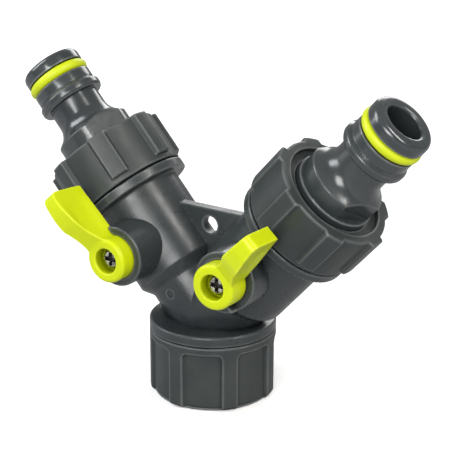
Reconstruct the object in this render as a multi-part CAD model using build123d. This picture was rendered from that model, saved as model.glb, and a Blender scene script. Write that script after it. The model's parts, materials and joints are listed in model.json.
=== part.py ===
from build123d import *
from math import cos, radians, sin
import os

# Two-way hose splitter, millimetres.
# Origin: centre of the inlet nut's mouth. +Z: up along the inlet axis.
# The two outlet arms lie in the XZ plane; the valve levers are on the -Y side.
#
# Each arm has its own frame: its z is the distance along the arm from the
# point where the two arm axes cross, and its y is the part's own y.

# --- layout ---
ARM_ANGLE = 42.0
CROSS_Z = 20.45
BALL_T = 23.7
WELD = 0.4                      # how far joined shapes run into each other
FAR = 200.0                     # more than the whole part

# --- inlet side of the body ---
COLLAR_R = 16.2
COLLAR_Z = (17.45, 20.15)
SPIGOT_R = 11.2
BEAD_R = 12.1
BEAD_Z = (13.4, 15.05)
INLET_BORE_R = 6.5

# --- arms of the body ---
STEM_R = 10.0
TUBE_R = 12.0
CONE_T = (12.0, 14.7)
FLANGE_R = 15.0
FLANGE_T = (35.75, 38.2)
RELIEF_R = 11.9
RELIEF_T = 39.2
WATERWAY_R = 5.0
CAVITY_R = 9.3
CAVITY_T = 15.4
EJECTOR_MARK = (1.1, 0.25)      # radius, depth
EJECTOR_MARK_T = 9.2
EJECTOR_MARK_ANGLE = -4.0

# --- G 3/4 thread, 14 per inch ---
THREAD_MINOR_R = 12.06
THREAD_PITCH_R = 12.64
THREAD_END_T = 45.5

# --- web with the hanging hole ---
WEB_HALF = 1.2
WEB_TOP_Z = 48.8
HANG_HOLE_R = 2.2
HANG_HOLE_Z = 44.5

# --- valve boss and stem ---
BOSS_R = 7.64
BOSS_FACE_Y = -17.2
SHROUD_Y = -19.3                # raised part of the boss, round three quarters of the hub
SHROUD_INNER_R = 5.8
STOP_DISTANCE = 3.1             # of the shroud's two end walls from the lever's axis
SHROUD_END_ROUND = 1.6
STEM_BORE_R = 3.95
SHOULDER_BORE_R = 4.7
SHOULDER_Y = -10.3
RUNNING = 0.05                  # radial running clearance

# --- ball and seats ---
BALL_R = 8.5
BALL_BORE_R = 4.75
SEAT_GAP = 0.03
SEAT_LENGTH = 3.3
SEAT_OUTER_R = 9.28
CARRIER_INNER_R = 7.2
CARRIER_FLOOR = 1.6
TANG = (3.0, 7.0, 6.1)          # thickness, width, nearest distance to the ball's centre
TANG_PLAY = 0.1
CARRIER_END_T = 45.2
KEY_SLOT = (2.4, 1.5)           # width, depth
SHOULDER_GAP = 0.25             # between the ball and the stem's shoulder
SEAL_MINOR_R = 0.68
SEAL_MAJOR_R = 3.25
SEAL_GROOVE = (2.55, 1.6)       # radius of its floor, width
SEAL_Y = (-12.4, -15.4)

# --- lever and its screw ---
DRIVE_SQUARE = 5.0
DRIVE_END_Y = -19.2
HUB_R = 5.65
HUB_BACK_Y = -17.3
HUB_FRONT_Y = -23.5
HUB_ROUND = 1.0
RECESS_R = 3.2
RECESS_ROUND = 0.4
SCREW_SEAT_Y = -20.2
GRIP_BACK_Y = -18.0
GRIP_CREST_Y = -28.5
GRIP_TIP = 20.9
GRIP_FRONT = (                  # front edge from tip to hub: distance from the hub's axis, y, rounding
    (GRIP_TIP, GRIP_CREST_Y, 1.9), (15.5, GRIP_CREST_Y, 9.0), (11.6, -27.6, 6.0),
    (4.9, -23.4, 0), (3.6, -22.5, 0), (0, -22.5, 0),
)
GRIP_HALF_WIDTHS = ((0, 3.3), (5.5, 3.0), (9.5, 2.78), (12.5, 2.58), (16.0, 2.24), (21.2, 1.9))
GRIP_NECK_ROUND = 1.8
GRIP_START = RECESS_R + 0.3     # the grip stays clear of the screw's recess
NECK_SINK = 0.04                # how far the neck's rounding runs into the hub
SCREW_R = 1.1
SCREW_HEAD = (2.3, 1.2)         # radius, height
SCREW_LENGTH = 9.0
SCREW_CROSS = (3.1, 0.85, 0.9)  # length, width, depth

# --- nuts ---
NUT_LANDS = 7
NUT_LAND_R = 16.15
UNION_T = (38.65, 52.0)
UNION_CORE_R = 15.0
UNION_LAND_START_T = 40.1
UNION_LAND_HALF = (7.8, 10.2)   # half angle at the land's top and at its foot
UNION_LAND_PHASE = -12.0
UNION_BORE_R = THREAD_PITCH_R + RUNNING
UNION_LIP_T = (49.55, 50.6)
UNION_RECESS_R = 12.7
SWIVEL_TOP_Z = 17.2
SWIVEL_CHAMBER_R = 12.4
SWIVEL_CHAMBER_Z = (10.6, 15.15)
PANEL_WIDTH = 10.4
PANEL_TOP_Z = 15.4
PANEL_FLOOR_R = 15.3
PANEL_CORNER_R = 1.5
PANEL_PHASE = -14.0
INLET_WASHER = (7.0, 11.95, 10.8, 13.35)

# --- quick-connect nipple ---
NIPPLE_BORE_R = 4.73
NIPPLE_FLANGE_R = 11.8
NIPPLE_FLANGE_T = (47.7, 49.5)
NIPPLE_LEDGE_R = 10.4
NIPPLE_LEDGE_END_T = 52.4
NIPPLE_BASE_R = 9.95
NIPPLE_BASE_END_T = 56.85
NIPPLE_NECK_R = 6.87
NIPPLE_NECK_START_T = 59.35     # where the flare would meet the neck without its rounding
NIPPLE_FLARE_ROUND = 5.0
NIPPLE_CATCH_R = 8.7
NIPPLE_CATCH_T = (65.9, 67.9)
NIPPLE_LAND_R = 8.0
NIPPLE_LAND_START_T = 69.1
NIPPLE_GROOVE_T = (71.7, 74.65)
NIPPLE_GROOVE_R = 5.6
NIPPLE_TIP_T = 78.05
NIPPLE_TIP_ROUND = 1.6
NIPPLE_MOUTH_ROUND = 0.9
NIPPLE_RING = (6.97, 1.37)      # major and minor radius of the O-ring
FLAT_DISTANCE = 8.5
FLAT_END_T = 59.0
FLAT_ANGLE = 67.5
OUTLET_WASHER = (8.0, 12.3, 45.55, 47.65)


def arm(side):
    """Frame of the right (1) or left (-1) arm."""
    return Location((0, 0, CROSS_Z), (0, side * ARM_ANGLE, 0))


def on_ball_axis(shape, y=0.0):
    """Turn a shape built along +Z so that it runs along -Y through the ball's centre."""
    return Location((0, y, BALL_T), (90, 0, 0)) * shape


def turned(*points, rounds=None):
    """Revolve an outline of (radius, height) points about Z; rounds maps point numbers to radii."""
    outline = make_face(Polyline(*points, close=True))
    for number, radius in (rounds or {}).items():
        corner = outline.vertices().sort_by_distance(points[number])[0]
        outline = fillet(corner, radius)
    return revolve(Plane.XZ * outline, Axis.Z)


def rod(radius, low, high):
    """Cylinder about Z from low to high."""
    return Pos(0, 0, low) * Cylinder(radius, high - low, align=(Align.CENTER, Align.CENTER, Align.MIN))


def tube(inner, outer, low, high):
    return rod(outer, low, high) - rod(inner, low, high)


# ---------------------------------------------------------------- body

def body_inlet():
    """Collar and the beaded spigot that holds the swivel nut."""
    bead_low, bead_high = BEAD_Z
    collar_low, collar_high = COLLAR_Z
    return turned(
        (0, bead_low), (BEAD_R - 0.9, bead_low), (BEAD_R, bead_low + 0.9), (BEAD_R, bead_high),
        (SPIGOT_R, bead_high), (SPIGOT_R, collar_low), (COLLAR_R, collar_low),
        (COLLAR_R, collar_high), (0, collar_high),
        rounds={6: 0.35, 7: 0.6},
    )


def body_arm():
    """Stem, cone, valve tube, flange and threaded end, in the arm's frame."""
    flange_low, flange_high = FLANGE_T
    return turned(
        (0, -1), (STEM_R, -1), (STEM_R, CONE_T[0]), (TUBE_R, CONE_T[1]),
        (TUBE_R, flange_low), (FLANGE_R, flange_low), (FLANGE_R, flange_high),
        (RELIEF_R, flange_high), (RELIEF_R, RELIEF_T),
        (THREAD_PITCH_R, RELIEF_T + 0.6), (THREAD_PITCH_R, THREAD_END_T - 0.6),
        (RELIEF_R, THREAD_END_T), (0, THREAD_END_T),
        rounds={2: 1.2, 3: 0.8, 4: 0.6, 5: 0.35, 6: 0.35},
    )


def shroud_plan():
    """Ring round the lever's hub, open over the quarter through which the grip swings."""
    opening = Pos(-STOP_DISTANCE, -STOP_DISTANCE) * Rectangle(
        3 * BOSS_R, 3 * BOSS_R, align=(Align.MIN, Align.MIN))
    plan = Circle(BOSS_R) - Circle(SHROUD_INNER_R) - opening
    inner = [corner for corner in plan.vertices() if abs(corner.X) < SHROUD_INNER_R > abs(corner.Y)]
    return fillet(inner, SHROUD_END_ROUND)


def body_boss():
    """Round boss on the front of a valve tube, with a shroud round its lever."""
    face = -BOSS_FACE_Y
    top = -SHROUD_Y
    boss = turned((0, 0), (BOSS_R, 0), (BOSS_R, face), (0, face), rounds={2: 0.3})
    blank = turned((0, 0), (BOSS_R, 0), (BOSS_R, top), (0, top), rounds={2: 0.4})
    shroud = extrude(Pos(0, 0, face - 1) * shroud_plan(), top) & blank
    return on_ball_axis(boss + shroud)


def boss_bores():
    """Stem bore and the wider bore behind its inner shoulder."""
    return on_ball_axis(rod(STEM_BORE_R, 0, -BOSS_FACE_Y + WELD) + rod(SHOULDER_BORE_R, 0, -SHOULDER_Y))


def body_web():
    """Thin gusset between the arms, with the hanging hole."""
    half_top = (WEB_TOP_Z - CROSS_Z) * sin(radians(ARM_ANGLE)) / cos(radians(ARM_ANGLE))
    low = CROSS_Z + STEM_R
    half_low = half_top * (low - CROSS_Z) / (WEB_TOP_Z - CROSS_Z)
    inset = STEM_R / 2
    outline = Polyline(
        (-half_low, low), (half_low, low),
        (half_top - inset, WEB_TOP_Z), (inset - half_top, WEB_TOP_Z), close=True,
    )
    plate = extrude(Plane.XZ * make_face(outline), WEB_HALF, both=True)
    hole = Location((0, 0, HANG_HOLE_Z), (90, 0, 0)) * Cylinder(HANG_HOLE_R, 4 * WEB_HALF)
    return plate - hole


def ejector_mark():
    """Shallow round mark left by the mould on the front of the left stem."""
    radius, depth = EJECTOR_MARK
    around = Location((0, 0, EJECTOR_MARK_T), (90, 0, EJECTOR_MARK_ANGLE))
    return arm(-1) * around * rod(radius, STEM_R - depth, STEM_R + depth)


def y_body():
    above = Pos(0, 0, BEAD_Z[1]) * Box(FAR, FAR, FAR, align=(Align.CENTER, Align.CENTER, Align.MIN))
    outside = body_inlet() + body_web()
    waterways = rod(INLET_BORE_R, BEAD_Z[0] - 1, CROSS_Z) + Pos(0, 0, CROSS_Z) * Sphere(INLET_BORE_R)
    for side in (1, -1):
        outside += (arm(side) * body_arm()) & above
        waterways += arm(side) * rod(WATERWAY_R, 0, CAVITY_T + WELD)
        waterways += arm(side) * rod(CAVITY_R, CAVITY_T, THREAD_END_T + WELD)
    right_boss = arm(1) * body_boss()
    right_cuts = arm(1) * boss_bores()
    outside += right_boss + mirror(right_boss, about=Plane.YZ)
    waterways += right_cuts + mirror(right_cuts, about=Plane.YZ)
    return outside - waterways - ejector_mark()


# ---------------------------------------------------------------- valve

def seat_ring(low):
    ring = tube(WATERWAY_R, SEAT_OUTER_R, low, low + SEAT_LENGTH)
    return ring - Pos(0, 0, BALL_T) * Sphere(BALL_R + SEAT_GAP)


def rear_seat():
    return seat_ring(CAVITY_T)


def front_seat():
    return seat_ring(2 * BALL_T - CAVITY_T - SEAT_LENGTH)


def seat_carrier():
    """Sleeve that keeps the front seat in place, with two slots for a fitting key."""
    low = 2 * BALL_T - CAVITY_T
    high = CARRIER_END_T
    sleeve = rod(SEAT_OUTER_R, low, high)
    sleeve -= rod(CARRIER_INNER_R, low + CARRIER_FLOOR, high)
    sleeve -= rod(WATERWAY_R, low, high)
    width, depth = KEY_SLOT
    return sleeve - Pos(0, 0, high) * Box(3 * SEAT_OUTER_R, width, 2 * depth)


def ball():
    thickness, width, near = TANG
    deep = BALL_R - near + TANG_PLAY
    slot = Pos(0, -BALL_R, BALL_T) * Box(thickness + TANG_PLAY, 2 * deep, width + 2 * TANG_PLAY)
    sphere = Pos(0, 0, BALL_T) * Sphere(BALL_R)
    return sphere - rod(BALL_BORE_R, BALL_T - 2 * BALL_R, BALL_T + 2 * BALL_R) - slot


def valve_stem():
    """Stem with a tang for the ball, an inner shoulder, two seal grooves and a square end."""
    thickness, width, near = TANG
    shoulder_low = BALL_R + SHOULDER_GAP
    shoulder_high = -SHOULDER_Y - RUNNING
    shaft_r = STEM_BORE_R - RUNNING
    shaft_end = -BOSS_FACE_Y
    drive_end = -DRIVE_END_Y
    stem = rod(shaft_r, shoulder_low, shaft_end)
    stem += rod(SHOULDER_BORE_R - 0.1, shoulder_low, shoulder_high)
    stem += Pos(0, 0, (near + shoulder_high) / 2) * Box(thickness, width, shoulder_high - near)
    stem += Pos(0, 0, (shaft_end + drive_end) / 2) * Box(
        DRIVE_SQUARE, DRIVE_SQUARE, drive_end - shaft_end)
    groove_r, groove_width = SEAL_GROOVE
    for y in SEAL_Y:
        stem -= tube(groove_r, shaft_r + 1, -y - groove_width / 2, -y + groove_width / 2)
    stem -= rod(SCREW_R, drive_end - SCREW_LENGTH, drive_end)
    return on_ball_axis(stem)


def stem_seals():
    rings = [Pos(0, 0, -y) * Torus(SEAL_MAJOR_R, SEAL_MINOR_R) for y in SEAL_Y]
    return on_ball_axis(Compound(children=rings))


def grip_plan():
    """Grip seen from the front, joined to the hub's circle by two rounded corners."""
    sides = []
    for sign in (1, -1):
        sides.append(Spline(*[(along, sign * half) for along, half in GRIP_HALF_WIDTHS]))
    upper, lower = sides
    strip = make_face(Curve() + [upper, lower, Line(upper @ 0, lower @ 0), Line(upper @ 1, lower @ 1)])
    plan = strip + Circle(HUB_R - NECK_SINK)
    corners = [corner for corner in plan.vertices() if RECESS_R < corner.X < HUB_R]
    return fillet(corners, GRIP_NECK_ROUND)


def lever_grip():
    """Raised grip: a side outline with a rounded crest, narrowed by the plan outline."""
    side_points = [(0, GRIP_BACK_Y, 0), (GRIP_TIP - 0.9, GRIP_BACK_Y, 0.5), *GRIP_FRONT]
    side = make_face(Polyline(*[point[:2] for point in side_points], close=True))
    for along, y, radius in side_points:
        if radius:
            side = fillet(side.vertices().sort_by_distance((along, y))[0], radius)
    along_arm = Plane(origin=(0, 0, BALL_T), x_dir=(0, 0, 1), z_dir=(-1, 0, 0))
    slab = extrude(along_arm * side, 2 * HUB_R, both=True)
    slab -= Pos(0, 0, BALL_T + GRIP_START) * Box(
        FAR, FAR, FAR, align=(Align.CENTER, Align.CENTER, Align.MAX))
    from_front = Plane(origin=(0, 0, BALL_T), x_dir=(0, 0, 1), z_dir=(0, -1, 0))
    return slab & extrude(from_front * grip_plan(), 2 * -GRIP_CREST_Y)


def lever():
    """Hub with a screw recess in front and a square socket behind, plus the grip."""
    back = -HUB_BACK_Y
    front = -HUB_FRONT_Y
    seat = -SCREW_SEAT_Y
    hub = turned(
        (0, back), (HUB_R, back), (HUB_R, front), (RECESS_R, front), (RECESS_R, seat), (0, seat),
        rounds={2: HUB_ROUND, 3: RECESS_ROUND},
    )
    cuts = rod(SCREW_R + 0.3, back - 1, seat + 1)
    socket = DRIVE_SQUARE + 0.06
    socket_end = -DRIVE_END_Y + RUNNING
    cuts += Pos(0, 0, socket_end) * Box(
        socket, socket, socket_end - back + 1, align=(Align.CENTER, Align.CENTER, Align.MAX))
    return on_ball_axis(hub) + lever_grip() - on_ball_axis(cuts)


def lever_screw():
    """Pan-head self-tapping screw with a cross recess."""
    head_r, head_h = SCREW_HEAD
    seat = -SCREW_SEAT_Y
    length, width, depth = SCREW_CROSS
    screw = turned((0, seat), (head_r, seat), (head_r, seat + head_h), (0, seat + head_h), rounds={2: 0.5})
    screw += rod(SCREW_R, -DRIVE_END_Y - SCREW_LENGTH + 1.0, seat)
    for turn in (0, 90):
        screw -= Location((0, 0, seat + head_h), (0, 0, turn)) * Box(length, width, 2 * depth)
    return on_ball_axis(screw)


# ---------------------------------------------------------------- nuts and outlets

def union_nut():
    """Coupling nut: round core, seven raised lands, inner lip and a recessed front face."""
    low, high = UNION_T
    lip_low, lip_high = UNION_LIP_T
    hole_r = NIPPLE_LEDGE_R + RUNNING
    core = turned((0, low), (UNION_CORE_R, low), (UNION_CORE_R, high), (0, high), rounds={1: 0.5, 2: 0.5})
    ends = turned((0, UNION_LAND_START_T), (NUT_LAND_R, UNION_LAND_START_T), (NUT_LAND_R, high), (0, high),
                  rounds={1: 0.6, 2: 0.5})
    top_half, foot_half = (radians(angle) for angle in UNION_LAND_HALF)
    foot_r = UNION_CORE_R - 0.6
    reach = NUT_LAND_R + 0.4
    trapezoid = make_face(Polyline(
        (foot_r * cos(foot_half), -foot_r * sin(foot_half)), (reach * cos(top_half), -reach * sin(top_half)),
        (reach * cos(top_half), reach * sin(top_half)), (foot_r * cos(foot_half), foot_r * sin(foot_half)),
        close=True))
    land = extrude(Pos(0, 0, low) * trapezoid, high - low) & ends
    for number in range(NUT_LANDS):
        turn = UNION_LAND_PHASE - 90 + number * 360 / NUT_LANDS
        core += Rot(0, 0, turn) * land
    core -= rod(UNION_BORE_R, low, lip_low)
    core -= rod(hole_r, low, high)
    return core - rod(UNION_RECESS_R, lip_high, high)


def swivel_nut():
    """Captive inlet nut: seven panels sunk into its side, thread at the minor diameter."""
    chamber_low, chamber_high = SWIVEL_CHAMBER_Z
    nut = turned((0, 0), (COLLAR_R, 0), (COLLAR_R, SWIVEL_TOP_Z), (0, SWIVEL_TOP_Z), rounds={1: 1.5, 2: 0.35})
    window = RectangleRounded(PANEL_WIDTH, 2 * PANEL_TOP_Z, PANEL_CORNER_R)
    facing = Plane(origin=(THREAD_MINOR_R, 0, 0), x_dir=(0, 1, 0), z_dir=(1, 0, 0))
    panel = extrude(facing * window, COLLAR_R) - rod(PANEL_FLOOR_R, -1, SWIVEL_TOP_Z)
    for number in range(NUT_LANDS):
        nut -= Rot(0, 0, PANEL_PHASE + number * 360 / NUT_LANDS) * panel
    nut = nut & turned((0, 0), (PANEL_FLOOR_R - 0.3, 0), (COLLAR_R, 1.6), (COLLAR_R, SWIVEL_TOP_Z),
                       (0, SWIVEL_TOP_Z))
    nut -= rod(THREAD_MINOR_R, 0, chamber_low + 0.2)
    nut -= rod(SWIVEL_CHAMBER_R, chamber_low, chamber_high)
    return nut - rod(SPIGOT_R + RUNNING, chamber_low, SWIVEL_TOP_Z)


def flat_washer(sizes):
    return tube(*sizes)


def nipple():
    """Quick-connect male end with two spanner flats on its base."""
    flange_low, flange_high = NIPPLE_FLANGE_T
    catch_low, catch_high = NIPPLE_CATCH_T
    groove_low, groove_high = NIPPLE_GROOVE_T
    solid = turned(
        (NIPPLE_BORE_R, flange_low), (NIPPLE_FLANGE_R, flange_low), (NIPPLE_FLANGE_R, flange_high),
        (NIPPLE_LEDGE_R, flange_high), (NIPPLE_LEDGE_R, NIPPLE_LEDGE_END_T),
        (NIPPLE_BASE_R, NIPPLE_LEDGE_END_T), (NIPPLE_BASE_R, NIPPLE_BASE_END_T),
        (NIPPLE_NECK_R, NIPPLE_NECK_START_T), (NIPPLE_NECK_R, catch_low),
        (NIPPLE_CATCH_R - 0.4, catch_low), (NIPPLE_CATCH_R, catch_low + 0.7),
        (NIPPLE_CATCH_R, catch_high), (NIPPLE_LAND_R - 0.15, NIPPLE_LAND_START_T - 0.2),
        (NIPPLE_LAND_R, NIPPLE_LAND_START_T), (NIPPLE_LAND_R, groove_low),
        (NIPPLE_GROOVE_R, groove_low), (NIPPLE_GROOVE_R, groove_high), (NIPPLE_LAND_R, groove_high),
        (NIPPLE_LAND_R, NIPPLE_TIP_T), (NIPPLE_BORE_R, NIPPLE_TIP_T),
        rounds={4: 0.15, 6: 0.2, 7: NIPPLE_FLARE_ROUND, 8: 0.3, 10: 0.5, 11: 0.6,
                18: NIPPLE_TIP_ROUND, 19: NIPPLE_MOUTH_ROUND},
    )
    reach = 4 * NIPPLE_BASE_R
    height = FLAT_END_T - NIPPLE_LEDGE_END_T
    for turn in (FLAT_ANGLE - 90, FLAT_ANGLE + 90):
        slab = Pos(FLAT_DISTANCE, 0, NIPPLE_LEDGE_END_T) * Box(
            reach, reach, height, align=(Align.MIN, Align.CENTER, Align.MIN))
        solid -= Rot(0, 0, turn) * slab
    return solid


def nipple_o_ring():
    major, minor = NIPPLE_RING
    return Pos(0, 0, sum(NIPPLE_GROOVE_T) / 2) * Torus(major, minor)


# ---------------------------------------------------------------- output

MIRRORED = {
    "ball": ball,
    "rear_seat": rear_seat,
    "front_seat": front_seat,
    "seat_carrier": seat_carrier,
    "valve_stem": valve_stem,
    "stem_seals": stem_seals,
    "lever": lever,
    "lever_screw": lever_screw,
}


def all_parts():
    parts = {
        "y_body": y_body(),
        "swivel_nut": swivel_nut(),
        "inlet_washer": flat_washer(INLET_WASHER),
    }
    for name, make in MIRRORED.items():
        right = arm(1) * make()
        parts["right_" + name] = right
        parts["left_" + name] = mirror(right, about=Plane.YZ)
    for name, side in (("right", 1), ("left", -1)):
        parts[name + "_union_nut"] = arm(side) * union_nut()
        parts[name + "_nipple"] = arm(side) * nipple()
        parts[name + "_nipple_o_ring"] = arm(side) * nipple_o_ring()
        parts[name + "_outlet_washer"] = arm(side) * flat_washer(OUTLET_WASHER)
    return parts


os.makedirs("parts", exist_ok=True)
for node, shape in all_parts().items():
    export_step(shape, "parts/" + node + ".step")
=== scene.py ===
import json
from math import acos, asin, cos, degrees, radians, sin, sqrt, tau

import bmesh
import bpy
from mathutils import Matrix, Vector


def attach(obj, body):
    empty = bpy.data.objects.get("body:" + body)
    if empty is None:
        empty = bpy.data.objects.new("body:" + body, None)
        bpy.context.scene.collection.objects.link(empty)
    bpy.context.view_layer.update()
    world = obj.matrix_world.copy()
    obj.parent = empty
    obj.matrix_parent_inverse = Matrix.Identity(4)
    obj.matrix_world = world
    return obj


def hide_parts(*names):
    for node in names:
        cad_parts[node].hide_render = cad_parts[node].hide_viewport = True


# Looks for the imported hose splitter. Lengths are in millimetres and angles in degrees, except
# in the camera and light section, whose lengths are in metres unless a comment says otherwise.
# "Arm coordinates" have their z along the arm, from the point where the two arm axes cross.
# Angles round an arm or the inlet start at the -Y side.

MM = 0.001
SIDES = ("left", "right")

# --- threads, G 3/4 ---
PITCH = 25.4 / 14
THREAD_MAJOR_R = 13.22
THREAD_PITCH_R = 12.64
THREAD_MINOR_R = 12.06
THREAD_CLEARANCE = 0.05
THREAD_ROOT_HALF = 0.30 * PITCH
THREAD_CREST_HALF = 0.10 * PITCH
THREAD_SINK = 0.12              # how far a ridge is sunk into the wall that carries it
THREAD_RUN_OUT = 0.3            # turns over which a ridge fades out at its ends
MALE_THREAD = (39.9, 45.1)      # start and end along the arm
UNION_THREAD = (39.6, 45.4)
UNION_THREAD_PHASE = 180.0      # degrees, where the nut's ridge starts
INLET_THREAD = (1.0, 10.0)

# --- union nut ---
LANDS = 7
LAND_R = 16.15
CORE_R = 15.0
LAND_PHASE = -12.0
LAND_TOP_HALF = 7.8             # half angle of a land's top
LAND_FOOT_HALF = 10.2           # half angle of its foot
LAND_FINE = 0.15                # between sections where a land's side meets its top and its foot
LAND_ROUND = 0.6
UNION_ENDS = (38.65, 52.0)
UNION_ROUND = 0.5
LAND_START = 40.1
UNION_LIP = (49.55, 50.6)
UNION_HOLE_R = 10.45
UNION_RECESS_R = 12.7

# --- swivel nut ---
SWIVEL_R = 16.2
SWIVEL_TOP = 17.2
SWIVEL_FOOT_ROUND = 1.5
SWIVEL_CHAMBER = (10.6, 15.15, 12.4)    # from, to, radius
SWIVEL_HOLE_R = 11.25
PANEL_HALF = 5.2
PANEL_TOP = 15.3
PANEL_SLOPE = 0.4               # width of a panel's side
PANEL_CORNER = 1.5
PANEL_DEPTH = 0.9
PANEL_PHASE = 76.0
PANEL_FADE_R = (14.9, 16.2)     # radii on the foot over which a panel reaches full depth

# --- nipple ---
NIPPLE_BORE_R = 4.73
NIPPLE_FLANGE = (47.7, 49.5, 11.8)      # from, to, radius
NIPPLE_LEDGE_R = 10.4
NIPPLE_BASE_R = 9.95
NIPPLE_BASE_END = 56.85
NIPPLE_NECK = (59.35, 65.9, 6.87)
NIPPLE_FLARE_ROUND = 5.0
NIPPLE_CATCH = (66.6, 67.9, 8.7)
NIPPLE_LAND_R = 8.0
NIPPLE_LAND_START = 69.1
NIPPLE_TIP = 78.05
O_RING_GROOVE = (71.7, 74.65, 5.6)
O_RING = (73.175, 6.97, 1.37)           # place along the arm, middle radius, section radius
NIPPLE_SECTION = 0.2            # greatest distance between sections where the flats are cut
FLAT_DISTANCE = 8.5             # of each spanner flat from the axis
FLAT_START = 52.4
FLAT_END = 59.0
FLAT_ANGLE = 67.5
FLAT_EDGE_ROUND = 0.12

# --- lever and screw ---
VOXEL = 0.13
LEVER_SMOOTH_ROUNDS = 10
LEVER_FACES_KEPT = 0.35
SCOOP = 0.20                    # share by which the grip's sides close in at their deepest
SCOOP_MIDDLE = (11.5, 23.2)     # distance from the lever's axis along the grip, and in front of the arm
SCOOP_REACH = (7.5, 4.6)
SCREW_SHANK_R = 1.1
SCREW_SHANK_SHOWN = 7.0
SCREW_HEAD_R = 2.3
SCREW_HEAD_ROUND = 0.55
SCREW_SEAT = 20.2
SCREW_HEIGHT = 1.2
SCREW_TURN = 42.0
CROSS_HALF_LENGTH = 1.78
CROSS_HALF_WIDTH = 0.55
CROSS_DEPTH = 1.0
CROSS_SLOPE = 0.22              # width of the recess's sides
# the deepest part of the screw's cross recess is painted black as shade
CROSS_DARK = 0.45               # share of the depth below which the recess is black
HEAD_RINGS = 44

# --- camera and light ---
CAMERA_AZIMUTH = 34.8
CAMERA_ELEVATION = 20.2
CAMERA_DISTANCE = 0.359
CAMERA_LENS = 113.6             # mm on a sensor 36 mm wide
AIM_HEIGHT = 0.0334
CAMERA_SHIFT = (0.0268, 0.0891)

SOFTBOX_DISTANCE = 0.6
SOFTBOX_AIM_HEIGHT = 0.04
# name, direction from the part, width, height, watts, colour
SOFTBOXES = (
    ("left", (-0.72, -0.38, 0.58), 0.24, 0.42, 2.2, (0.94, 0.97, 1.0)),
    ("front", (0.30, -0.95, 0.42), 0.34, 0.26, 2.4, (1.0, 1.0, 1.0)),
    ("right", (0.76, -0.10, 0.64), 0.08, 0.40, 2.1, (1.0, 0.98, 0.93)),
    ("back", (-0.25, 0.85, 0.45), 0.40, 0.20, 1.2, (1.0, 1.0, 1.0)),
)
WORLD_STRENGTH = 0.34
FLOOR_GLOW = 0.25
FLOOR_HALF = 6000               # mm
FLOOR_DROP = 0.2                # mm below the part
FLOOR_FADE = (0.25, 0.8)        # distance from the part over which the floor turns plain white
MOUTH_GLOW = 0.7                # light from below into the inlet nut, unseen from above
MOUTH_GLOW_EDGE = (0.0125, 0.0135)      # radius at which that light ends

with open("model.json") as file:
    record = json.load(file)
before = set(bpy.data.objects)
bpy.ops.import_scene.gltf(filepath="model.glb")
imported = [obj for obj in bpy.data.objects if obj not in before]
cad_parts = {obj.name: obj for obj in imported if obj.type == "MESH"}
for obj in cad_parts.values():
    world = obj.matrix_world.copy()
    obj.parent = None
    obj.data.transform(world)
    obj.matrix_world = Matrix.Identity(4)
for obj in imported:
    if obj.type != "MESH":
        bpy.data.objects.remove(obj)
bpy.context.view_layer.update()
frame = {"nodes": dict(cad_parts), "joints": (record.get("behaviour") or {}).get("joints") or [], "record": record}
joints = {joint["name"]: joint for joint in frame["joints"]}


# ------------------------------------------------------------------ frames

def arm_matrix(side):
    """Arm coordinates of one side, worked out from the axis of its union nut."""
    joint = joints[side + "_nut_spin"]
    along = Vector(joint["axis"]).normalized()
    through = Vector(joint["pos_m"])
    origin = through - along * (through.x / along.x)
    across = Vector((0, 1, 0)).cross(along)
    turned = Matrix((across, Vector((0, 1, 0)), along)).transposed().to_4x4()
    return Matrix.Translation(origin) @ turned


ARM = {side: arm_matrix(side) for side in SIDES}


def valve_matrix(side):
    """Valve coordinates: z outward along the lever's axis, y along the arm."""
    joint = joints[side + "_valve_turn"]
    front = Vector((0, -1, 0))
    along = Vector(joints[side + "_nut_spin"]["axis"]).normalized()
    turned = Matrix((along.cross(front), along, front)).transposed().to_4x4()
    return Matrix.Translation(Vector(joint["pos_m"])) @ turned


# ------------------------------------------------------------------ mesh tools

def piece(name, verts, faces, matrix, material, smooth=True):
    """New mesh piece from millimetre coordinates, placed in the row frame."""
    mesh = bpy.data.meshes.new(name)
    mesh.from_pydata([matrix @ (Vector(v) * MM) for v in verts], [], faces)
    mesh.validate()
    mesh.materials.append(material)
    mesh.polygons.foreach_set("use_smooth", [smooth] * len(mesh.polygons))
    mesh.update()
    made = bpy.data.objects.new(name, mesh)
    bpy.context.scene.collection.objects.link(made)
    return made


def crisp(made, angle=40.0):
    """Keep edges sharp above an angle and let large faces set the normals of their roundings."""
    bpy.context.view_layer.objects.active = made
    made.select_set(True)
    bpy.ops.object.shade_smooth_by_angle(angle=radians(angle))
    made.select_set(False)
    weighted = made.modifiers.new("weighted", "WEIGHTED_NORMAL")
    weighted.keep_sharp = True
    return made


def rounded(points, steps=5):
    """Outline from (x, y) or (x, y, radius) points, with an arc at each point that has a radius."""
    outline = []
    count = len(points)
    for number, point in enumerate(points):
        here = Vector(point[:2])
        if len(point) < 3:
            outline.append(here)
            continue
        before = (Vector(points[number - 1][:2]) - here).normalized()
        after = (Vector(points[(number + 1) % count][:2]) - here).normalized()
        half = acos(max(-1.0, min(1.0, before.dot(after)))) / 2
        reach = point[2] / max(1e-6, sin(half) / cos(half))
        centre = here + (before + after).normalized() * (point[2] / sin(half))
        first = here + before * reach - centre
        last = here + after * reach - centre
        sweep = first.angle_signed(last)
        for step in range(steps + 1):
            part = step / steps
            turn = Matrix.Rotation(-sweep * part, 2)
            outline.append(centre + turn @ first)
    return outline


def lathe(rings, angles):
    """Closed skin through rings; a ring is (radius, height) and a radius may be a function of angle."""
    verts = []
    faces = []
    count = len(angles)
    for radius, height in rings:
        for angle in angles:
            r = radius(angle) if callable(radius) else radius
            verts.append((r * sin(radians(angle)), -r * cos(radians(angle)), height))
    for row in range(len(rings)):
        upper = (row + 1) % len(rings)
        for column in range(count):
            right = (column + 1) % count
            faces.append((row * count + column, row * count + right,
                          upper * count + right, upper * count + column))
    return verts, faces


def even_angles(count):
    """Evenly spaced angles right round."""
    return [360.0 * number / count for number in range(count)]


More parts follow.
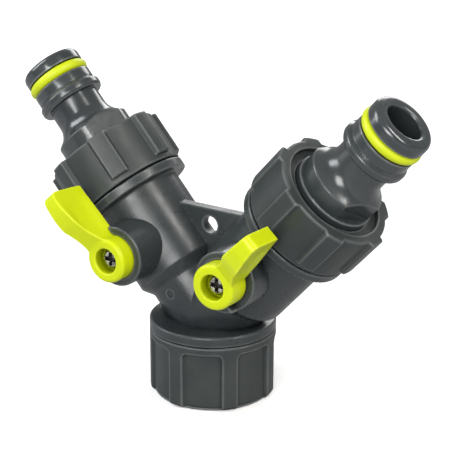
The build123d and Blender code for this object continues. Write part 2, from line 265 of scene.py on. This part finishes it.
def ease(value):
    """0 to 1 along a smooth S curve."""
    value = max(0.0, min(1.0, value))
    return value * value * (3 - 2 * value)


def ramp(value, soft=0.12):
    """0 to 1 in a straight line, with a short curve at both ends."""
    if value <= -soft:
        return 0.0
    if value >= 1 + soft:
        return 1.0
    if value < soft:
        return (value + soft) ** 2 / (4 * soft)
    if value > 1 - soft:
        return 1 - (1 + soft - value) ** 2 / (4 * soft)
    return value


def helix(root_r, crest_r, low, high, phase=0.0, steps=96):
    """Closed helical thread ridge between two heights, fading out at both ends."""
    sink = THREAD_SINK if crest_r > root_r else -THREAD_SINK
    total = int((high - low) / PITCH * steps)
    verts = []
    faces = []
    for step in range(total + 1):
        angle = tau * step / steps + radians(phase)
        height = low + PITCH * step / steps
        fade = ease(min(step, total - step) / (THREAD_RUN_OUT * steps))
        crest = root_r + (crest_r - root_r) * fade
        section = ((root_r - sink, -THREAD_ROOT_HALF), (root_r, -THREAD_ROOT_HALF),
                   (crest, -THREAD_CREST_HALF), (crest, THREAD_CREST_HALF),
                   (root_r, THREAD_ROOT_HALF), (root_r - sink, THREAD_ROOT_HALF))
        for radius, offset in section:
            verts.append((radius * sin(angle), -radius * cos(angle), height + offset))
    width = len(section)
    for step in range(total):
        for side in range(width):
            other = (side + 1) % width
            faces.append((step * width + side, (step + 1) * width + side,
                          (step + 1) * width + other, step * width + other))
    faces.append(tuple(range(width)))
    faces.append(tuple(total * width + side for side in reversed(range(width))))
    return verts, faces


def joined(*meshes):
    """One vertex and face list from several."""
    verts = []
    faces = []
    for more_verts, more_faces in meshes:
        start = len(verts)
        verts.extend(more_verts)
        faces.extend(tuple(start + corner for corner in face) for face in more_faces)
    return verts, faces


def outward(made):
    """Make all face normals point out of the solid."""
    work = bmesh.new()
    work.from_mesh(made.data)
    bmesh.ops.recalc_face_normals(work, faces=work.faces)
    work.to_mesh(made.data)
    work.free()
    return made


# ------------------------------------------------------------------ materials

class Shader:
    """Small helper around one material's node tree; patterns lie in the part's own coordinates."""

    def __init__(self, name):
        self.material = bpy.data.materials.new(name)
        self.material.use_nodes = True
        self.tree = self.material.node_tree
        self.surface = self.tree.nodes["Principled BSDF"]
        self.place = self.node("ShaderNodeTexCoord").outputs["Object"]

    def node(self, kind, **values):
        made = self.tree.nodes.new(kind)
        for key, value in values.items():
            setattr(made, key, value)
        return made

    def link(self, source, target):
        self.tree.links.new(source, target)

    def noise(self, scale, detail=4.0, roughness=0.55):
        made = self.node("ShaderNodeTexNoise")
        made.inputs["Scale"].default_value = scale
        made.inputs["Detail"].default_value = detail
        made.inputs["Roughness"].default_value = roughness
        self.link(self.place, made.inputs["Vector"])
        return made.outputs["Fac"]

    def remap(self, source, low, high, to_low, to_high):
        made = self.node("ShaderNodeMapRange")
        for name, value in (("From Min", low), ("From Max", high), ("To Min", to_low), ("To Max", to_high)):
            self.put(value, made.inputs[name])
        self.link(source, made.inputs["Value"])
        return made.outputs["Result"]

    def mix(self, factor, first, second):
        made = self.node("ShaderNodeMix", data_type="RGBA")
        self.put(factor, made.inputs[0])
        self.put(first, made.inputs[6])
        self.put(second, made.inputs[7])
        return made.outputs[2]

    def put(self, value, target):
        if hasattr(value, "links"):
            self.link(value, target)
        elif isinstance(value, tuple):
            target.default_value = (*value, 1.0)
        else:
            target.default_value = value

    def soft_edges(self, radius_mm):
        """Normal that rounds sharp edges a little."""
        bevel = self.node("ShaderNodeBevel", samples=4)
        bevel.inputs["Radius"].default_value = radius_mm * MM
        return bevel.outputs["Normal"]

    def near(self, reach_mm, inside):
        """Share of open directions, seen from the surface outward or into the solid."""
        occlusion = self.node("ShaderNodeAmbientOcclusion", samples=4, inside=inside, only_local=inside)
        occlusion.inputs["Distance"].default_value = reach_mm * MM
        return occlusion.outputs["AO"]

    def ridges(self, reach_mm):
        """1 on outer edges, 0 on open surfaces."""
        return self.remap(self.near(reach_mm, True), 0.93, 0.62, 0.0, 1.0)

    def hollow(self, reach_mm, open_to=0.75):
        """1 deep inside a recess, 0 on open surfaces."""
        return self.remap(self.near(reach_mm, False), 0.1, open_to, 1.0, 0.0)

    def times(self, first, second):
        made = self.node("ShaderNodeMath", operation="MULTIPLY")
        self.put(first, made.inputs[0])
        self.put(second, made.inputs[1])
        return made.outputs[0]

    def bump(self, height, distance_mm, normal=None):
        made = self.node("ShaderNodeBump")
        made.inputs["Distance"].default_value = distance_mm * MM
        self.link(height, made.inputs["Height"])
        if normal is not None:
            self.link(normal, made.inputs["Normal"])
        return made.outputs["Normal"]


def moulded(name, colour, light, roughness, grain=0.012, edge_mm=0.6, rim=0.8, edge_highlight_colour=None,
            specular=0.5, shade=0.7, reach_mm=2.0, round_mm=0.2):
    """Injection-moulded plastic: fine spark grain, cloudy sheen, painted edge highlights, painted recess shade.

    The tint drifts between colour and light. Within edge_mm of an outer edge a painted highlight pales
    the colour towards the given highlight colour, as strongly as rim says. Recesses narrower than reach_mm
    get painted shade, darker by shade, and lose most of their specular.
    """
    shader = Shader(name)
    clouds = shader.noise(60.0)
    patches = shader.noise(260.0, 3.0)
    specks = shader.noise(900.0, 2.0)
    grain_height = shader.noise(4200.0, 3.0, 0.7)
    tint = shader.mix(shader.remap(clouds, 0.35, 0.65, 0.0, 1.0), colour, light)
    spotted = shader.mix(shader.remap(specks, 0.62, 0.78, 0.0, 0.25), tint, light)
    # painted shade: recesses are darkened towards a near-black copy of the colour
    deep = tuple(0.12 * part for part in colour)
    hollow = shader.times(shader.hollow(reach_mm), shade)
    shaded = shader.mix(hollow, spotted, deep)
    # painted highlight: a paler colour is laid along outer edges, patchy in strength, for the light that rounded
    # edges catch
    painted_edge_light = shader.times(shader.ridges(edge_mm), shader.remap(patches, 0.3, 0.7, 0.6 * rim, rim))
    pale = edge_highlight_colour or tuple(min(1.0, 2.2 * part + 0.16) for part in colour)
    shader.put(shader.mix(painted_edge_light, shaded, pale), shader.surface.inputs["Base Color"])
    shader.put(shader.remap(patches, 0.3, 0.7, roughness - 0.06, roughness + 0.06),
               shader.surface.inputs["Roughness"])
    # painted shade also takes most of the specular out of recesses
    shader.put(shader.remap(hollow, 0.0, 0.6, specular, 0.05 * specular),
               shader.surface.inputs["Specular IOR Level"])
    soft = shader.soft_edges(round_mm)
    shader.put(shader.bump(grain_height, grain, soft), shader.surface.inputs["Normal"])
    return shader.material


def rubber(name, colour, light, roughness):
    """Rubber: a cloudy tint with fine grain."""
    shader = Shader(name)
    clouds = shader.noise(150.0)
    grain = shader.noise(3000.0, 3.0, 0.6)
    shader.put(shader.mix(shader.remap(clouds, 0.3, 0.7, 0.0, 1.0), colour, light),
               shader.surface.inputs["Base Color"])
    shader.put(shader.remap(clouds, 0.3, 0.7, roughness - 0.06, roughness + 0.06),
               shader.surface.inputs["Roughness"])
    shader.put(shader.bump(grain, 0.006), shader.surface.inputs["Normal"])
    return shader.material


def plated_steel(name):
    """Zinc-plated steel: mottled grey metal, scratched, with painted shade in its recesses."""
    shader = Shader(name)
    clouds = shader.noise(900.0)
    scratches = shader.noise(5000.0, 2.0)
    plain = shader.mix(shader.remap(clouds, 0.35, 0.65, 0.0, 1.0), (0.22, 0.21, 0.19), (0.80, 0.79, 0.75))
    # painted shade: near black deep in recesses
    shader.put(shader.mix(shader.hollow(0.9, 0.8), plain, (0.006, 0.005, 0.005)),
               shader.surface.inputs["Base Color"])
    shader.surface.inputs["Metallic"].default_value = 1.0
    shader.put(shader.remap(clouds, 0.3, 0.7, 0.12, 0.34), shader.surface.inputs["Roughness"])
    shader.put(shader.bump(scratches, 0.004), shader.surface.inputs["Normal"])
    return shader.material


GREY = (0.025, 0.031, 0.034)
GREY_LIGHT = (0.038, 0.044, 0.044)
NUT_GREY = (0.024, 0.030, 0.031)
NUT_GREY_LIGHT = (0.039, 0.045, 0.043)
LIME = (0.53, 0.62, 0.0012)
LIME_LIGHT = (0.58, 0.67, 0.002)
# colour of the painted edge highlight on the lime levers
LIME_EDGE_HIGHLIGHT = (0.80, 0.88, 0.04)

# every moulded material below paints highlights on its outer edges and shade in its recesses; the lime one paints
# the darkest, widest-reaching shade
MATERIALS = {
    "dark_plastic": moulded("dark_plastic", GREY, GREY_LIGHT, 0.30),
    "nut_plastic": moulded("nut_plastic", NUT_GREY, NUT_GREY_LIGHT, 0.42, grain=0.016, rim=1.0,
                           specular=0.42),
    "nipple_plastic": moulded("nipple_plastic", GREY, GREY_LIGHT, 0.21, grain=0.002, rim=0.9,
                              specular=0.8),
    "lime_plastic": moulded("lime_plastic", LIME, LIME_LIGHT, 0.34, grain=0.004, edge_highlight_colour=LIME_EDGE_HIGHLIGHT,
                            specular=0.3, shade=0.95, reach_mm=4.0),
    "lime_rubber": rubber("lime_rubber", LIME, LIME_LIGHT, 0.45),
    "black_rubber": rubber("black_rubber", (0.012, 0.012, 0.012), (0.02, 0.02, 0.02), 0.6),
    "seat_plastic": moulded("seat_plastic", (0.70, 0.70, 0.67), (0.76, 0.76, 0.73), 0.4),
    "valve_plastic": moulded("valve_plastic", (0.035, 0.038, 0.04), (0.045, 0.048, 0.05), 0.3),
    "steel": plated_steel("steel"),
    # near-black material that paints shade into the screw's cross recess
    "screw_recess": rubber("screw_recess", (0.004, 0.004, 0.004), (0.012, 0.011, 0.010), 0.5),
}


def dress_cad_nodes():
    """Give every CAD node the procedural material of its slot."""
    for row in frame["record"]["subparts"]:
        node = frame["nodes"][row["node"]]
        node.data.materials.clear()
        node.data.materials.append(MATERIALS[row["material_slot"]])


def settle(made, slot, body, *nodes):
    """Finish a new piece: attach it to its body and hide the CAD nodes it stands for; slot is not used."""
    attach(made, body)
    if nodes:
        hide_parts(*nodes)
    return made


# ------------------------------------------------------------------ nuts

def right_round(phase, offsets):
    """Angles right round a nut from the offsets on one side of a land's or a panel's middle."""
    span = 360.0 / LANDS
    angles = []
    for number in range(LANDS):
        middle = phase + number * span
        angles.extend(middle + offset for offset in offsets)
        angles.append(middle + span / 2)
        angles.extend(middle + span - offset for offset in reversed(offsets[1:]))
    return angles


def from_middle(angle, phase):
    """Signed angle from the middle of the nearest land or panel."""
    span = 360.0 / LANDS
    return (angle - phase + span / 2) % span - span / 2


def land_angles():
    """Angles round a union nut, close together at the edges of a land's sides."""
    edges = [edge + LAND_FINE * step for edge in (LAND_TOP_HALF, LAND_FOOT_HALF) for step in range(-2, 3)]
    between = [0, 3.5, 6.5, 7.3, 8.6, 9.0, 9.4, 10.8, 12.5, 15, 18, 21, 23.5]
    return right_round(LAND_PHASE, sorted(between + edges))


def on_land(angle):
    """1 on a land, 0 between lands, falling over a land's side."""
    away = abs(from_middle(angle, LAND_PHASE))
    return ramp((LAND_FOOT_HALF - away) / (LAND_FOOT_HALF - LAND_TOP_HALF))


def land_ring(core, land, height):
    """Ring of a union nut between its core radius and its land radius."""
    return (lambda angle: core + (land - core) * on_land(angle), height)


def rounded_core(height):
    """Radius between the lands, closing in where the nut's outer end is rounded."""
    past = height - UNION_ENDS[1] + UNION_ROUND
    if past <= 0:
        return CORE_R
    return CORE_R - UNION_ROUND + sqrt(max(0.0, UNION_ROUND ** 2 - past ** 2))


def union_nut(side):
    """Coupling nut with seven lands, a recessed outer end, an inner lip and its thread."""
    low, high = UNION_ENDS
    lip_low, lip_high = UNION_LIP
    bore = THREAD_MAJOR_R + THREAD_CLEARANCE
    rear = rounded([(bore, low + 0.5), (bore + 0.5, low), (CORE_R, low, 0.45), (CORE_R, LAND_START)])
    rings = [(p.x, p.y) for p in rear]
    rise = rounded([(CORE_R, LAND_START), (LAND_R, LAND_START, LAND_ROUND), (LAND_R, high, UNION_ROUND),
                    (CORE_R, high)])
    rings.extend(land_ring(rounded_core(p.y), p.x, p.y) for p in rise[1:-1])
    face = rounded([(CORE_R - UNION_ROUND, high),
                    (UNION_RECESS_R, high, 0.22), (UNION_RECESS_R, lip_high, 0.3),
                    (UNION_HOLE_R, lip_high, 0.25), (UNION_HOLE_R, lip_low), (bore, lip_low)])
    rings.extend((p.x, p.y) for p in face)
    skin = lathe(rings, land_angles())
    thread = helix(bore, THREAD_PITCH_R + THREAD_CLEARANCE, *UNION_THREAD, phase=UNION_THREAD_PHASE)
    made = piece(side + "_union_nut_shell", *joined(skin, thread), ARM[side], MATERIALS["nut_plastic"])
    return settle(crisp(outward(made)), "nut_plastic", side + "_coupling_nut", side + "_union_nut")


def male_thread(side):
    """Thread ridge on the end of one of the body's arms."""
    ridge = helix(THREAD_PITCH_R, THREAD_MAJOR_R - THREAD_CLEARANCE, *MALE_THREAD)
    made = piece(side + "_male_thread", *ridge, ARM[side], MATERIALS["dark_plastic"])
    return settle(crisp(outward(made)), "dark_plastic", "manifold")


def panel_angles():
    """Angles round the swivel nut, close together across each panel's side and corner."""
    edge = degrees(asin(PANEL_HALF / SWIVEL_R))
    fine = [edge - 6.0 + 0.25 * step for step in range(27)]
    return right_round(PANEL_PHASE, [0.0, 3.0, 6.0, 9.0, 11.5] + fine + [edge + 2.5])


def panel_depth(angle, height):
    """How deep the nearest sunk panel is here: full depth inside its rounded outline."""
    away = from_middle(angle, PANEL_PHASE)
    x = abs(SWIVEL_R * sin(radians(away))) - PANEL_HALF + PANEL_CORNER
    y = height - PANEL_TOP + PANEL_CORNER
    outside = sqrt(max(x, 0.0) ** 2 + max(y, 0.0) ** 2)
    distance = outside + min(max(x, y), 0.0) - PANEL_CORNER
    return PANEL_DEPTH * ramp(-distance / PANEL_SLOPE)


def panel_ring(radius, height):
    """Ring of the swivel nut; on the rounded foot the panels run out."""
    inner, full = PANEL_FADE_R
    share = 1.0
    if radius <= SWIVEL_R - 0.5:
        share = max(0.0, (radius - inner) / (full - inner))
    return (lambda angle: radius - panel_depth(angle, height) * share, height)


def swivel_nut():
    """Inlet nut with seven sunk panels, the chamber for the spigot's bead and its thread."""
    chamber_low, chamber_high, chamber_r = SWIVEL_CHAMBER
    thread_root = THREAD_MAJOR_R + THREAD_CLEARANCE
    foot = rounded([(thread_root + 0.4, 0.0), (SWIVEL_R, 0.0, SWIVEL_FOOT_ROUND), (SWIVEL_R, 4.0)], 7)
    rings = [(thread_root, 0.4)]
    rings.extend(panel_ring(p.x, p.y) for p in foot)
    heights = [6.0, 8.0, 10.0, 12.0] + [13.5 + 0.09 * step for step in range(23)] + [16.0]
    rings.extend(panel_ring(SWIVEL_R, height) for height in heights)
    top = rounded([(SWIVEL_R, 16.2), (SWIVEL_R, SWIVEL_TOP, 0.35), (SWIVEL_HOLE_R, SWIVEL_TOP),
                   (SWIVEL_HOLE_R, chamber_high), (chamber_r, chamber_high), (chamber_r, chamber_low),
                   (thread_root, chamber_low - 0.4)])
    rings.extend((p.x, p.y) for p in top)
    skin = lathe(rings, panel_angles())
    thread = helix(thread_root, THREAD_MINOR_R, *INLET_THREAD)
    made = piece("swivel_nut_shell", *joined(skin, thread), Matrix.Identity(4), MATERIALS["nut_plastic"])
    return settle(crisp(outward(made)), "nut_plastic", "inlet_nut", "swivel_nut")


# ------------------------------------------------------------------ nipple

def nipple_profile():
    """Outline of the nipple as (radius, height) points, from its rear bore edge round to its tip."""
    flange_low, flange_high, flange_r = NIPPLE_FLANGE
    neck_low, neck_high, neck_r = NIPPLE_NECK
    catch_low, catch_high, catch_r = NIPPLE_CATCH
    groove_low, groove_high, groove_r = O_RING_GROOVE
    return rounded([
        (NIPPLE_BORE_R, flange_low), (flange_r, flange_low, 0.2), (flange_r, flange_high, 0.2),
        (NIPPLE_LEDGE_R, flange_high), (NIPPLE_LEDGE_R, FLAT_START, 0.15),
        (NIPPLE_BASE_R, FLAT_START), (NIPPLE_BASE_R, NIPPLE_BASE_END, 0.25),
        (neck_r, neck_low, NIPPLE_FLARE_ROUND), (neck_r, neck_high, 0.3),
        (8.3, neck_high, 0.25), (catch_r, catch_low, 0.5), (catch_r, catch_high, 0.6), (7.85, 68.9, 0.15),
        (NIPPLE_LAND_R, NIPPLE_LAND_START, 0.08), (NIPPLE_LAND_R, groove_low, 0.2), (groove_r, groove_low),
        (groove_r, groove_high), (NIPPLE_LAND_R, groove_high, 0.2),
        (NIPPLE_LAND_R, NIPPLE_TIP, 1.6), (NIPPLE_BORE_R, NIPPLE_TIP, 0.9),
    ], 7)


def flat_cut(radius, angle):
    """Radius at an angle once the two spanner flats are cut, with a small round along their edges."""
    off = radians((angle - FLAT_ANGLE + 90.0) % 180.0 - 90.0)
    flat = FLAT_DISTANCE / max(0.2, cos(off))
    gap = max(0.0, FLAT_EDGE_ROUND - abs(flat - radius))
    return min(radius, flat) - gap * gap / (4 * FLAT_EDGE_ROUND)


def nipple_ring(radius, height):
    """Ring of the nipple, cut by the flats where it lies between their ends."""
    if not FLAT_START < height < FLAT_END:
        return (radius, height)
    return (lambda angle: flat_cut(radius, angle), height)


def nipple_angles():
    """Angles round the nipple, close together where a flat's edges lie."""
    offsets = [0.0, 3.0, 6.0, 9.0, 12.0] + [14.0 + 0.5 * step for step in range(44)]
    offsets.extend([38.0, 41.0, 44.0, 47.0, 50.0, 53.0, 56.0, 59.0])
    angles = []
    for middle in (FLAT_ANGLE, FLAT_ANGLE + 180.0):
        angles.extend(middle + offset for offset in offsets)
        angles.extend(middle + 62.0 + 3.5 * step for step in range(17))
        angles.extend(middle + 180.0 - offset for offset in reversed(offsets[1:]))
    return angles


def nipple(side):
    """Quick-connect outlet with its two spanner flats."""
    rings = []
    outline = nipple_profile()
    for number, point in enumerate(outline):
        before = outline[number - 1]
        pieces = 0
        if number and point.y < FLAT_END + 1:
            pieces = int(abs(point.y - before.y) / NIPPLE_SECTION)
        for part in range(1, pieces):
            middle = before.lerp(point, part / pieces)
            rings.append(nipple_ring(middle.x, middle.y))
        rings.append(nipple_ring(point.x, point.y))
    made = piece(side + "_nipple_body", *lathe(rings, nipple_angles()), ARM[side],
                 MATERIALS["nipple_plastic"])
    return settle(crisp(outward(made)), "nipple_plastic", side + "_outlet", side + "_nipple")


def o_ring(side):
    """Lime O-ring near a nipple's tip."""
    height, major, minor = O_RING
    rings = [(major + minor * cos(radians(a)), height + minor * sin(radians(a))) for a in even_angles(28)]
    made = piece(side + "_o_ring", *lathe(rings, even_angles(160)), ARM[side], MATERIALS["lime_rubber"])
    return settle(outward(made), "lime_rubber", side + "_outlet", side + "_nipple_o_ring")


# ------------------------------------------------------------------ lever, screw

def scoop(made, matrix):
    """Hollow the two sides of a lever's grip a little between its crest and its back."""
    placed = matrix.inverted() @ made.matrix_world
    back = placed.inverted()
    for vertex in made.data.vertices:
        spot = placed @ vertex.co / MM
        along = (spot.y - SCOOP_MIDDLE[0]) / SCOOP_REACH[0]
        depth = (spot.z - SCOOP_MIDDLE[1]) / SCOOP_REACH[1]
        share = ease(1 - along * along) * ease(1 - depth * depth)
        if share > 0:
            spot.x *= 1 - SCOOP * share
            vertex.co = back @ (spot * MM)


def lever(side):
    """A copy of the CAD lever with the soft edges and blended corners of a moulded part."""
    source = frame["nodes"][side + "_lever"]
    made = bpy.data.objects.new(side + "_lever_moulded", source.data.copy())
    made.matrix_world = source.matrix_world
    bpy.context.scene.collection.objects.link(made)
    remesh = made.modifiers.new("remesh", "REMESH")
    remesh.mode = "VOXEL"
    remesh.voxel_size = VOXEL * MM
    smooth = made.modifiers.new("smooth", "SMOOTH")
    smooth.factor = 0.5
    smooth.iterations = LEVER_SMOOTH_ROUNDS
    thin = made.modifiers.new("thin", "DECIMATE")
    thin.ratio = LEVER_FACES_KEPT
    bpy.context.view_layer.update()
    evaluated = made.evaluated_get(bpy.context.evaluated_depsgraph_get())
    mesh = bpy.data.meshes.new_from_object(evaluated)
    made.modifiers.clear()
    made.data = mesh
    mesh.materials.clear()
    mesh.materials.append(MATERIALS["lime_plastic"])
    mesh.polygons.foreach_set("use_smooth", [True] * len(mesh.polygons))
    scoop(made, valve_matrix(side))
    return settle(made, "lime_plastic", side + "_valve", side + "_lever")


def cross_depth(x, y):
    """Depth of the screw's cross recess under a point of its head."""
    far = max(abs(x), abs(y))
    near = min(abs(x), abs(y))
    arms = max(far - CROSS_HALF_LENGTH, near - CROSS_HALF_WIDTH)
    middle = sqrt(x * x + y * y) - 1.7 * CROSS_HALF_WIDTH
    return CROSS_DEPTH * ease(-min(arms, middle) / CROSS_SLOPE)


def screw(side):
    """Screw with a domed head and a cross recess."""
    top = SCREW_SEAT + SCREW_HEIGHT
    shape = rounded([(SCREW_HEAD_R, SCREW_SEAT), (SCREW_HEAD_R, top, SCREW_HEAD_ROUND), (0.0, top)], 8)[:-1]
    angles = even_angles(120)
    verts = []
    rings = [(SCREW_SHANK_R, SCREW_SEAT - SCREW_SHANK_SHOWN), (SCREW_SHANK_R, SCREW_SEAT)]
    rings.extend((p.x, p.y) for p in shape)
    edge = rings[-1][0]
    rings.extend((edge * (1 - step / HEAD_RINGS), top) for step in range(1, HEAD_RINGS))
    for radius, height in rings:
        for angle in angles:
            x = radius * sin(radians(angle))
            y = radius * cos(radians(angle))
            depth = cross_depth(x, y) if height > SCREW_SEAT + 0.5 * SCREW_HEIGHT else 0.0
            verts.append((x, y, height - depth))
    count = len(angles)
    faces = [tuple(reversed(range(count)))]
    for row in range(len(rings) - 1):
        for column in range(count):
            right = (column + 1) % count
            faces.append((row * count + column, row * count + right,
                          (row + 1) * count + right, (row + 1) * count + column))
    faces.append(tuple((len(rings) - 1) * count + column for column in range(count)))
    turn = Matrix.Rotation(radians(SCREW_TURN if side == "right" else -SCREW_TURN), 4, "Z")
    made = piece(side + "_screw_body", verts, faces, valve_matrix(side) @ turn, MATERIALS["steel"])
    made.data.materials.append(MATERIALS["screw_recess"])
    # painted shade: the deepest faces of the cross recess get the near-black material
    sunk = top - CROSS_DARK * CROSS_DEPTH
    first_top = len(faces) - 1 - (HEAD_RINGS - 1) * count
    for number in range(first_top, len(faces)):
        if all(verts[corner][2] < sunk for corner in faces[number]):
            made.data.polygons[number].material_index = 1
    return settle(crisp(outward(made)), "steel", side + "_valve", side + "_lever_screw")


# ------------------------------------------------------------------ floor, light, camera

def floor():
    """Pale floor: white for the camera, dimmer in what it reflects onto the part, clear from below."""
    shader = Shader("floor")
    tint = shader.noise(3.0)
    seen = shader.node("ShaderNodeLightPath").outputs["Is Camera Ray"]
    pale = shader.mix(tint, (0.88, 0.88, 0.88), (0.92, 0.92, 0.92))
    shader.put(shader.mix(seen, (0.45, 0.45, 0.46), pale), shader.surface.inputs["Base Color"])
    shader.surface.inputs["Roughness"].default_value = 0.9
    shader.surface.inputs["Specular IOR Level"].default_value = 0.1
    away = shader.node("ShaderNodeVectorMath", operation="LENGTH")
    shader.link(shader.place, away.inputs[0])
    glow = shader.remap(away.outputs["Value"], *FLOOR_FADE, FLOOR_GLOW, 1.0)
    shader.put((1.0, 1.0, 1.0), shader.surface.inputs["Emission Color"])
    inner = shader.remap(away.outputs["Value"], *MOUTH_GLOW_EDGE, MOUTH_GLOW, 0.0)
    shader.put(shader.remap(seen, 0.0, 1.0, inner, glow), shader.surface.inputs["Emission Strength"])
    below = shader.node("ShaderNodeNewGeometry").outputs["Backfacing"]
    shader.put(shader.remap(below, 0.0, 1.0, 1.0, 0.0), shader.surface.inputs["Alpha"])
    corners = [(x * FLOOR_HALF, y * FLOOR_HALF, 0) for x, y in ((-1, -1), (1, -1), (1, 1), (-1, 1))]
    made = piece("floor", corners, [(0, 1, 2, 3)], Matrix.Translation((0, 0, -FLOOR_DROP * MM)),
                 shader.material, smooth=False)


def softbox(name, place, aim, width, height, power, colour):
    """Rectangular area light that faces the aim."""
    light = bpy.data.lights.new(name, "AREA")
    light.shape = "RECTANGLE"
    light.size = width
    light.size_y = height
    light.energy = power
    light.color = colour
    made = bpy.data.objects.new(name, light)
    made.location = place
    made.rotation_euler = (Vector(aim) - Vector(place)).to_track_quat("-Z", "Y").to_euler()
    bpy.context.scene.collection.objects.link(made)


def studio():
    """White surroundings for the camera, a dimmer white sky for the part, and the softboxes."""
    scene = bpy.context.scene
    world = bpy.data.worlds.new("studio")
    scene.world = world
    world.use_nodes = True
    tree = world.node_tree
    background = tree.nodes["Background"]
    background.inputs["Color"].default_value = (1.0, 1.0, 1.0, 1.0)
    strength = tree.nodes.new("ShaderNodeMapRange")
    strength.inputs["To Min"].default_value = WORLD_STRENGTH
    tree.links.new(tree.nodes.new("ShaderNodeLightPath").outputs["Is Camera Ray"], strength.inputs["Value"])
    tree.links.new(strength.outputs["Result"], background.inputs["Strength"])
    aim = Vector((0, 0, SOFTBOX_AIM_HEIGHT))
    for name, toward, width, height, power, colour in SOFTBOXES:
        place = aim + Vector(toward).normalized() * SOFTBOX_DISTANCE
        softbox(name, place, aim, width, height, power, colour)
    scene.view_settings.view_transform = "Standard"


def camera():
    """Camera in front of the part, to the right and a little above."""
    data = bpy.data.cameras.new("camera")
    data.lens = CAMERA_LENS
    data.sensor_width = 36.0
    data.shift_x, data.shift_y = CAMERA_SHIFT
    data.clip_start = 0.01
    made = bpy.data.objects.new("camera", data)
    azimuth = radians(CAMERA_AZIMUTH)
    elevation = radians(CAMERA_ELEVATION)
    aim = Vector((0, 0, AIM_HEIGHT))
    back = Vector((sin(azimuth) * cos(elevation), -cos(azimuth) * cos(elevation), sin(elevation)))
    made.location = aim + back * CAMERA_DISTANCE
    made.rotation_euler = (-back).to_track_quat("-Z", "Y").to_euler()
    bpy.context.scene.collection.objects.link(made)
    bpy.context.scene.camera = made


# ------------------------------------------------------------------ build

dress_cad_nodes()
swivel_nut()
for side in SIDES:
    union_nut(side)
    male_thread(side)
    nipple(side)
    o_ring(side)
    lever(side)
    screw(side)
floor()
studio()
camera()
